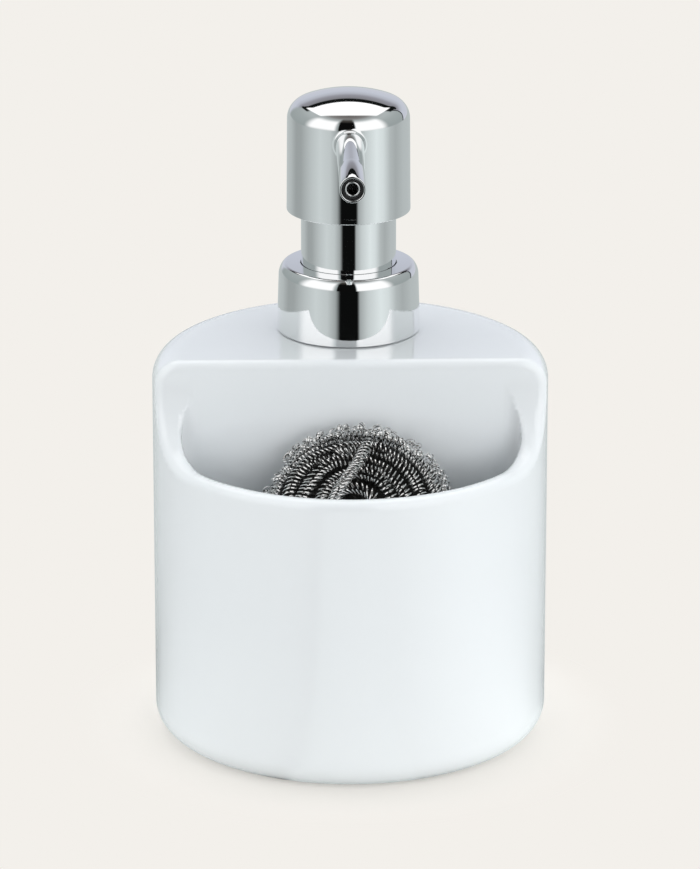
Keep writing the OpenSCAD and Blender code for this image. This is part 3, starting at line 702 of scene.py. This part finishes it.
# %% [markdown]
# ## The nozzle
# Inside the spout's rim sits a black liner, and in the liner's middle a narrow tube with a bright
# round lip. In the photograph they are a few dots wide, but the lip is what makes the tip read as
# a nozzle and not as a hole.

# %% Nozzle
LIP_R, LIP_DEPTH, LIP = 1.82, 0.62, 0.2

profile = [(2.98, 6.0), (2.98, 0.9), (2.9, 0.8), (2.2, 0.8), (2.0, 1.0), (2.0, 4.5), (1.1, 4.5),
           (1.1, 6.0)]
points, faces = follow_spout(profile[::-1])
make_piece("nozzle_liner_black", points, faces, "head", "black_plastic", ["nozzle_liner"], sharp=40)

profile = [(2.0, 3.0)] + arc(LIP_R, LIP_DEPTH, LIP, 0, -180, 12) + [(1.62, 3.0)]
points, faces = follow_spout(profile[::-1])
make_piece("nozzle_tube", points, faces, "head", "chrome_plate", sharp=50)

# %% [markdown]
# ## The spout's rim and the head's hem
# A mesh from a grid frays where a field ends in a sharp cut, and in chrome each tooth shows. The
# head and the spout therefore stop half a millimetre short, and two turned rings finish them: one
# with two small roundings round the spout's mouth, and one that rolls under the head's foot.

# %% Rim and hem
RIM_IN, RIM_OUT, HEM_ROUND = 0.2, 0.22, 0.3

profile = [(TIP_R - SPOUT_WALL, 1.4)] + arc(TIP_R - 0.35, RIM_IN, RIM_IN, -180, -90, 12)
profile += arc(TIP_R - 0.21, RIM_OUT, RIM_OUT, -90, 0, 12)
profile += [(TIP_R + 0.012, 1.3), (TIP_R - 0.1, 1.35)]
points, faces = follow_spout(profile)
make_piece("spout_rim", points, faces, "head", "chrome_plate", sharp=12)

profile = [(HEAD_R - 0.15, HEM_Z + 1.05), (HEAD_R + 0.004, HEM_Z + 1.0)]
profile += arc(HEAD_R - 0.29, HEAD_FOOT + HEM_ROUND, HEM_ROUND, 0, -88, 12)
profile += [(HEAD_R - 1.2, HEAD_FOOT), (HEAD_R - 1.4, HEAD_FOOT + 0.2), (HEAD_R - 1.4, HEM_Z + 1.05)]
points, faces = turn(profile[::-1])
make_piece("head_hem", points, faces, "head", "chrome_plate", sharp=12)

# %% [markdown]
# ## The collar
# The collar is a pressed metal shell over the threaded ring. Its wall ends in a large shoulder
# arc, a tighter edge and a flat top, in which the sleeve is mirrored. The bands of light bend
# where the curve changes, so the two arcs meet with the same direction.

# %% Collar
COLLAR_R, COLLAR_TOP_R, COLLAR_FOOT, COLLAR_TOP = 20.1, 19.6, 110.3, 129.4
SHOULDER, EDGE, SHOULDER_TURN, COLLAR_HOLE, COLLAR_WALL = 4.6, 1.5, 40.0, 13.5, 1.2

turned = math.radians(SHOULDER_TURN)
shoulder_r, edge_z = COLLAR_TOP_R - SHOULDER, COLLAR_TOP - 0.1 - EDGE
shoulder_z = edge_z - (SHOULDER - EDGE) * math.sin(turned)
edge_r = shoulder_r + (SHOULDER - EDGE) * math.cos(turned)
profile = [(COLLAR_R - 0.15, COLLAR_FOOT), (COLLAR_R, COLLAR_FOOT + 0.15)]
profile += arc(shoulder_r, shoulder_z, SHOULDER, 0, SHOULDER_TURN, 30)
profile += arc(edge_r, edge_z, EDGE, SHOULDER_TURN + 4, 89, 16)
profile += [(COLLAR_HOLE + 0.12, COLLAR_TOP), (COLLAR_HOLE, COLLAR_TOP - 0.12)]
profile += [(COLLAR_HOLE, COLLAR_TOP - COLLAR_WALL)]
profile += arc(shoulder_r, shoulder_z, SHOULDER - COLLAR_WALL, SHOULDER_TURN, 0, 12)
profile += [(COLLAR_R - 1.6, COLLAR_FOOT + 0.15), (COLLAR_R - 1.45, COLLAR_FOOT)]
points, faces = turn(profile)
make_piece("collar", points, faces, "collar", "chrome_plate", ["collar_shell"], sharp=30)

# %% [markdown]
# ## The sleeve
# Between the collar and the head stands a plain chromed sleeve. The head comes down over it, so it
# has to be a true cylinder with nothing on it.

# %% Sleeve
SLEEVE_R, SLEEVE_BORE, SLEEVE_FOOT, SLEEVE_TOP = 13.3, 12.5, 128.2, 147.5

profile = [(SLEEVE_R, SLEEVE_TOP)] + [(SLEEVE_R, z) for z in np.linspace(147, 129.0, 4)]
profile += [(SLEEVE_R, SLEEVE_FOOT), (SLEEVE_BORE, SLEEVE_FOOT), (SLEEVE_BORE, SLEEVE_TOP)]
points, faces = turn(profile[::-1])
make_piece("neck_sleeve_chrome", points, faces, "pump", "chrome_plate", ["neck_sleeve"], sharp=30)

# %% [markdown]
# ## The scourer
# The scourer is one long springy coil of flat steel wire, wound into a flattened ball that leans
# back against the pocket's wall. A ball with a bump texture would look like felt. So the coil is
# drawn as it is made: a ribbon runs in tight turns round a guide line, and the guide line spirals
# over the ball from its front to its back. First come the ball itself and a slow random curve
# that keeps the coil from looking machined.

# %% The ball and its wanderings
rng = np.random.default_rng(7)
BALL = np.array([1.5, -29.6, 70.07])
LEAN = math.radians(54)
BALL_X = np.array([1.0, 0.0, 0.0])
BALL_Y = np.array([0.0, math.cos(LEAN), math.sin(LEAN)])
BALL_Z = np.array([0.0, -math.sin(LEAN), math.cos(LEAN)])


def wander(length, size, waves):
    """A slow random curve of about this size, one value per sample."""
    knots = rng.normal(0, size, (max(4, waves),))
    return np.interp(np.linspace(0, len(knots) - 1, length), np.arange(len(knots)), knots)


def unit(rows):
    """Each row made one long."""
    return rows / np.linalg.norm(rows, axis=1, keepdims=True)


def over_ball(polar, turn_angle, half_width, half_thick):
    """Points of the flattened ball and their outward directions, from two angles in radians."""
    x = half_width * np.sin(polar) * np.cos(turn_angle)
    y = half_width * np.sin(polar) * np.sin(turn_angle)
    z = half_thick * np.cos(polar)
    points = BALL + x[:, None] * BALL_X + y[:, None] * BALL_Y + z[:, None] * BALL_Z
    out = (x / half_width ** 2)[:, None] * BALL_X + (y / half_width ** 2)[:, None] * BALL_Y
    return points, unit(out + (z / half_thick ** 2)[:, None] * BALL_Z)


print("the ball's middle is", BALL[2], "mm up")

# %% [markdown]
# ## Wire and coil
# The wire is a thin ribbon with four corners, its flat face turned away from the coil's middle, as
# it is after winding. The coil's turns lean over a little, more in one place than in another, and
# their size and spacing wander. A curve's own bevel would be round, so the ribbon is made from its
# corners instead.

# %% Ribbon and coil helpers
TURN_STEPS, WIRE_WIDE, WIRE_THICK = 13, 0.30, 0.12
GUIDE_STRAY, PHASE_STRAY, SIZE_STRAY = 0.34, 0.9, 0.08
TILT, TILT_STRAY, LEAN_STRAY = 0.55, 0.35, 0.4


def ribbon(points, outward, wide, thick):
    """A flat wire through points, its flat face turned outward. Returns points and quads."""
    along = unit(np.gradient(points, axis=0))
    face = unit(outward - (outward * along).sum(1, keepdims=True) * along)
    across = np.cross(along, face)
    corners = ((-1, -1), (1, -1), (1, 1), (-1, 1))
    rings = np.stack([points + (across * a * wide / 2 + face * b * thick / 2) for a, b in corners], 1)
    n = len(points)
    i, j = np.meshgrid(np.arange(n - 1), np.arange(4), indexing="ij")
    k = (j + 1) % 4
    quads = np.stack([i * 4 + j, i * 4 + k, (i + 1) * 4 + k, (i + 1) * 4 + j], -1).reshape(-1, 4)
    ends = np.array([[3, 2, 1, 0], [n * 4 - 4, n * 4 - 3, n * 4 - 2, n * 4 - 1]])
    return rings.reshape(-1, 3), np.concatenate([quads, ends])


def coil(guide, out, radius, spacing):
    """A ribbon wound in turns round a guide line, with the line's outward direction given."""
    length = np.concatenate([[0], np.cumsum(np.linalg.norm(np.diff(guide, axis=0), axis=1))])
    turns = length[-1] / spacing
    count = int(turns * TURN_STEPS)
    at = np.linspace(0, length[-1], count)
    guide = np.stack([np.interp(at, length, guide[:, a]) for a in range(3)], 1)
    out = np.stack([np.interp(at, length, out[:, a]) for a in range(3)], 1)
    guide += np.stack([wander(count, GUIDE_STRAY, int(turns / 6)) for _ in range(3)], 1)
    along = unit(np.gradient(guide, axis=0))
    out = unit(out - (out * along).sum(1, keepdims=True) * along)
    side = np.cross(along, out)
    phase = 2 * math.pi * at / spacing + wander(count, PHASE_STRAY, int(turns / 3))
    radial = out * np.cos(phase)[:, None] + side * np.sin(phase)[:, None]
    size = radius * (1 + wander(count, SIZE_STRAY, int(turns / 2)))
    tilt = radius * (TILT + wander(count, TILT_STRAY, int(turns / 6)))
    lean = along * (tilt * np.sin(phase + wander(count, LEAN_STRAY, int(turns / 3))))[:, None]
    return ribbon(guide + radial * size[:, None] + lean, radial, WIRE_WIDE, WIRE_THICK)


print("a turn of the coil has", TURN_STEPS, "steps")

# %% [markdown]
# ## The two layers of coil
# The outer coil spirals over the ball with its rows close together, so grooves show between them
# as in the photograph. A second, looser layer below runs the other way and fills the gaps, its steel
# painted darker as shade. A denser outer coil alone would close the grooves and look like cloth.

# %% Outer and inner coil
POLE_GAP, RIM_SPREAD = 0.55, 0.6


def ball_spiral(half_width, half_thick, pitch, start=0.0, way=1):
    """A guide line from the front pole to the back pole, whose rows spread a little at the rim."""
    polar = np.linspace(0, math.pi, 400)
    steps = np.hypot(half_width * np.cos(polar), RIM_SPREAD * half_thick * np.sin(polar))
    steps = steps * (polar[1] - polar[0])
    length = np.concatenate([[0], np.cumsum((steps[1:] + steps[:-1]) / 2)])
    along = np.linspace(pitch * POLE_GAP, length[-1] - pitch * POLE_GAP, 1500)
    turn_angle = way * 2 * math.pi * along / pitch + start
    return over_ball(np.interp(along, length, polar), turn_angle, half_width, half_thick)


guide, out = ball_spiral(half_width=24.9, half_thick=11.4, pitch=4.5)
points, faces = coil(guide, out, radius=1.85, spacing=1.25)
make_piece("scourer_outer_coil", points, faces, "scourer", "scourer_wire", ["scourer_strand"], sharp=50)
guide, out = ball_spiral(half_width=23.4, half_thick=9.8, pitch=4.6, start=2.0, way=-1)
points, faces = coil(guide, out, radius=1.5, spacing=2.2)
make_piece("scourer_inner_coil", points, faces, "scourer", "scourer_wire", sharp=50)

# %% [markdown]
# ## The loose strand
# One end of the coil has sprung out and lies across the front of the ball, from the top down to
# the left. It is the feature that the eye finds first, so it is drawn on its own, as a line over
# the ball that rises a little in its middle.

# %% Loose strand
STRAND_R, STRAND_THICK, STRAND_LIFT = 26.0, 11.0, 3.2

t = np.linspace(0, 1, 80)
u, v = 2.8 - 12.0 * t, 18.8 - 20.5 * t  # mm to the right and up on the ball's face
arch = STRAND_THICK + STRAND_LIFT * np.sin(math.pi * t) ** 0.6
guide, out = over_ball(np.arcsin(np.hypot(u, v) / STRAND_R), np.arctan2(v, u), STRAND_R, arch)
points, faces = coil(guide, out, radius=1.7, spacing=1.12)
make_piece("scourer_loose_strand", points, faces, "scourer", "scourer_wire", sharp=50)

# %% [markdown]
# ## The heart
# Deep in the ball the wire is too dense and too deep in shade to tell apart. A closed dark ball stands
# for it, just under the inner coil, so that no light comes through the gaps from behind; its near-black
# colour is painted shade.

# %% Heart
ROWS, SPOKES, HEART_R, HEART_THICK = 48, 96, 23.2, 9.3

polar, round_angle = np.meshgrid(np.linspace(0, math.pi, ROWS + 1),
                                 np.linspace(0, 2 * math.pi, SPOKES, endpoint=False), indexing="ij")
points, out = over_ball(polar.ravel(), round_angle.ravel(), HEART_R, HEART_THICK)
i, j = np.meshgrid(np.arange(ROWS), np.arange(SPOKES), indexing="ij")
k = (j + 1) % SPOKES
corners = [i * SPOKES + j, (i + 1) * SPOKES + j, (i + 1) * SPOKES + k, i * SPOKES + k]
make_piece("scourer_heart", points, np.stack(corners, -1).reshape(-1, 4), "scourer", "scourer_filling",
           ["scourer_core"], sharp=80)

# %% [markdown]
# ## Sprung curls
# Near the outline some turns have come free and stand up as small curls, which break the ball's
# edge against the white wall. Each is a ribbon of one or two turns. They are one mesh, because a
# hundred small objects would only slow the scene down.

# %% Sprung curls
CURLS, CURL_R, CURL_HEIGHT, CURL_WIDE, CURL_THICK = 110, 26.5, 12.8, 0.38, 0.16

all_points, all_faces, offset = [], [], 0
for curl in range(CURLS):
    polar, round_angle = math.acos(rng.uniform(-0.5, 0.5)), rng.uniform(-0.3, math.pi + 0.3)
    centre, outward = over_ball(np.array([polar]), np.array([round_angle]), CURL_R, CURL_HEIGHT)
    t = np.linspace(0, 2 * math.pi * rng.uniform(0.9, 2.2), 34)
    first = np.cross(outward[0], rng.normal(size=3))
    first /= np.linalg.norm(first)
    second = outward[0] * rng.uniform(0.4, 0.9) + np.cross(outward[0], first) * 0.6
    size = rng.uniform(0.9, 1.35)
    path = centre + size * (np.cos(t)[:, None] * first + np.sin(t)[:, None] * second)
    path = path + np.cross(first, second) * (t / 6.28 * rng.uniform(0.4, 0.9))[:, None]
    points, faces = ribbon(path, path - centre + 1e-4, CURL_WIDE, CURL_THICK)
    all_points.append(points)
    all_faces.append(faces + offset)
    offset += len(points)
make_piece("scourer_curls", np.concatenate(all_points), np.concatenate(all_faces), "scourer",
           "scourer_wire", sharp=50)

# %% [markdown]
# ## An uneven surface
# No real surface has one roughness all over. Glaze pools, chrome has been wiped, and plastic shows
# the mould. All of that is a noise that drives the roughness between two limits, so it is built
# once as a node group and placed in each material with its own scale and limits.

# %% Uneven surface group
FLOAT = "NodeSocketFloat"
uneven = bpy.data.node_groups.new("uneven_surface", "ShaderNodeTree")
for label, value in (("Scale", 300.0), ("Detail", 4.0), ("Low", 0.1), ("High", 0.2)):
    uneven.interface.new_socket(label, in_out="INPUT", socket_type=FLOAT).default_value = value
for label in ("Mask", "Roughness"):
    uneven.interface.new_socket(label, in_out="OUTPUT", socket_type=FLOAT)
given = uneven.nodes.new("NodeGroupInput").outputs
result = uneven.nodes.new("NodeGroupOutput").inputs

spot = add_node(uneven, "ShaderNodeTexCoord").outputs["Object"]
grain = add_node(uneven, "ShaderNodeTexNoise",
                 {"Vector": spot, "Scale": given["Scale"], "Detail": given["Detail"]}).outputs["Fac"]
spread = add_node(uneven, "ShaderNodeMapRange", {"Value": grain, "From Min": 0.3, "From Max": 0.7,
                                                 "To Min": given["Low"], "To Max": given["High"]})
uneven.links.new(grain, result["Mask"])
uneven.links.new(spread.outputs[0], result["Roughness"])
print("the group has", len(uneven.nodes), "nodes")

# %% [markdown]
# ## Making a finish
# Every finish here is a Principled shader with a few fixed values, the uneven roughness, two
# colours that the same noise mixes, and for some a fine relief. One function builds them, and the
# fixed values go straight onto the shader's own sockets.

# %% Finish helper
def finish(name, sockets, grain_scale, rough, tint, relief=None):
    """A material, from its fixed sockets, roughness limits, two colours, and relief (scale, depth)."""
    material = bpy.data.materials.new(name)
    material.use_nodes = True
    tree = material.node_tree
    shader = tree.nodes["Principled BSDF"]
    for key, value in sockets.items():
        shader.inputs[key].default_value = value
    group = add_node(tree, "ShaderNodeGroup", node_tree=uneven)
    for key, value in (("Scale", grain_scale), ("Low", rough[0]), ("High", rough[1])):
        group.inputs[key].default_value = value
    tree.links.new(group.outputs["Roughness"], shader.inputs["Roughness"])
    tree.links.new(blend_colours(tree, group.outputs["Mask"], *tint), shader.inputs["Base Color"])
    if relief:
        where = add_node(tree, "ShaderNodeTexCoord").outputs["Object"]
        inputs = {"Vector": where, "Scale": relief[0], "Detail": 2.0}
        waves = add_node(tree, "ShaderNodeTexNoise", inputs).outputs["Fac"]
        inputs = {"Height": waves, "Strength": 1.0, "Distance": relief[1]}
        tree.links.new(add_node(tree, "ShaderNodeBump", inputs).outputs[0], shader.inputs["Normal"])
    print(name, "is ready")
    return material


# %% [markdown]
# ## Glaze and chrome
# The glaze is clear glass over white clay, so it has a soft body colour under a coat, with waves
# too shallow to see except in a reflection. Chrome is a mirror that is never quite perfect.

# %% Glaze and chrome
METAL = {"Metallic": 1.0}

glaze = finish("glaze", {"IOR": 1.5, "Coat Weight": 1.0, "Coat Roughness": 0.12, "Coat IOR": 1.5},
               25.0, (0.10, 0.13), ((0.76, 0.795, 0.82), (0.78, 0.815, 0.84)), (60.0, 0.00003))
chrome = finish("chrome", METAL, 120.0, (0.025, 0.05), ((0.90, 0.905, 0.91), (0.92, 0.925, 0.93)))

# %% [markdown]
# ## Plastics, rubber and spring steel
# The neck, the core and the valve parts are natural plastic, which lets a little light into it.
# The liner is black plastic, the washers and the piston's ring are rubber, and the spring and the
# balls are plain steel. They show only when the pump is taken apart, and still get a real finish.

# %% Hidden finishes
TRANSLUCENT = {"IOR": 1.49, "Subsurface Weight": 0.2, "Subsurface Scale": 0.002}

clear_plastic = finish("clear_plastic", TRANSLUCENT, 200.0, (0.3, 0.42),
                       ((0.74, 0.75, 0.74), (0.80, 0.81, 0.80)), (900.0, 0.00002))
black_plastic = finish("black_plastic", {}, 400.0, (0.32, 0.45),
                       ((0.012, 0.012, 0.013), (0.02, 0.02, 0.021)), (1500.0, 0.00001))
rubber = finish("rubber", {}, 500.0, (0.6, 0.75), ((0.03, 0.03, 0.032), (0.045, 0.045, 0.047)),
                (1500.0, 0.00003))
steel = finish("steel", METAL, 300.0, (0.18, 0.3), ((0.55, 0.55, 0.54), (0.62, 0.62, 0.61)))

# %% [markdown]
# ## The scourer's steel
# The outer wire is bright and sparkles, with a noise finer than one turn of the coil. The layer
# below and the heart lie in the shade of the turns above, deeper than this many bounces of light
# can follow, so their steel is written darker and rougher.

# %% Scourer finishes
wire_steel = finish("wire_steel", METAL, 1100.0, (0.06, 0.12),
                    ((0.60, 0.60, 0.595), (1.0, 0.995, 0.985)))
# painted shade: the inner coil's steel is near black, for the shade under the outer turns
shaded_inner_wire = finish("shaded_inner_wire", METAL, 800.0, (0.25, 0.4), ((0.02, 0.02, 0.02), (0.06, 0.06, 0.058)))
# painted shade: the heart's steel is near black for the shade deep inside the ball
filling = finish("filling", METAL, 900.0, (0.35, 0.6), ((0.006, 0.006, 0.006), (0.04, 0.04, 0.038)),
                 (1800.0, 0.0004))

# %% [markdown]
# ## Giving out the finishes
# Each slot of the record has one finish. The CAD nodes that stay take theirs from the record's own
# list, and the new pieces from the slot they were made with. Only the inner coil differs: it has
# the wire's slot, but steel painted darker as shade.

# %% Finishes on every piece
SLOT_FINISH = {"white_glaze": glaze, "chrome_plate": chrome, "natural_plastic": clear_plastic,
               "black_plastic": black_plastic, "sealing_rubber": rubber, "spring_steel": steel,
               "scourer_wire": wire_steel, "scourer_filling": filling}
OWN_FINISH = {"scourer_inner_coil": shaded_inner_wire}

node_slot = {row["node"]: row["material_slot"] for row in frame["record"]["subparts"]}
for name, node in frame["nodes"].items():
    for material_slot in node.material_slots:
        material_slot.material = SLOT_FINISH[node_slot[name]]
for piece, slot in pieces:
    piece.data.materials.append(OWN_FINISH.get(piece.name, SLOT_FINISH[slot]))
print(len(node_slot), "nodes and", len(pieces), "new pieces have a finish")
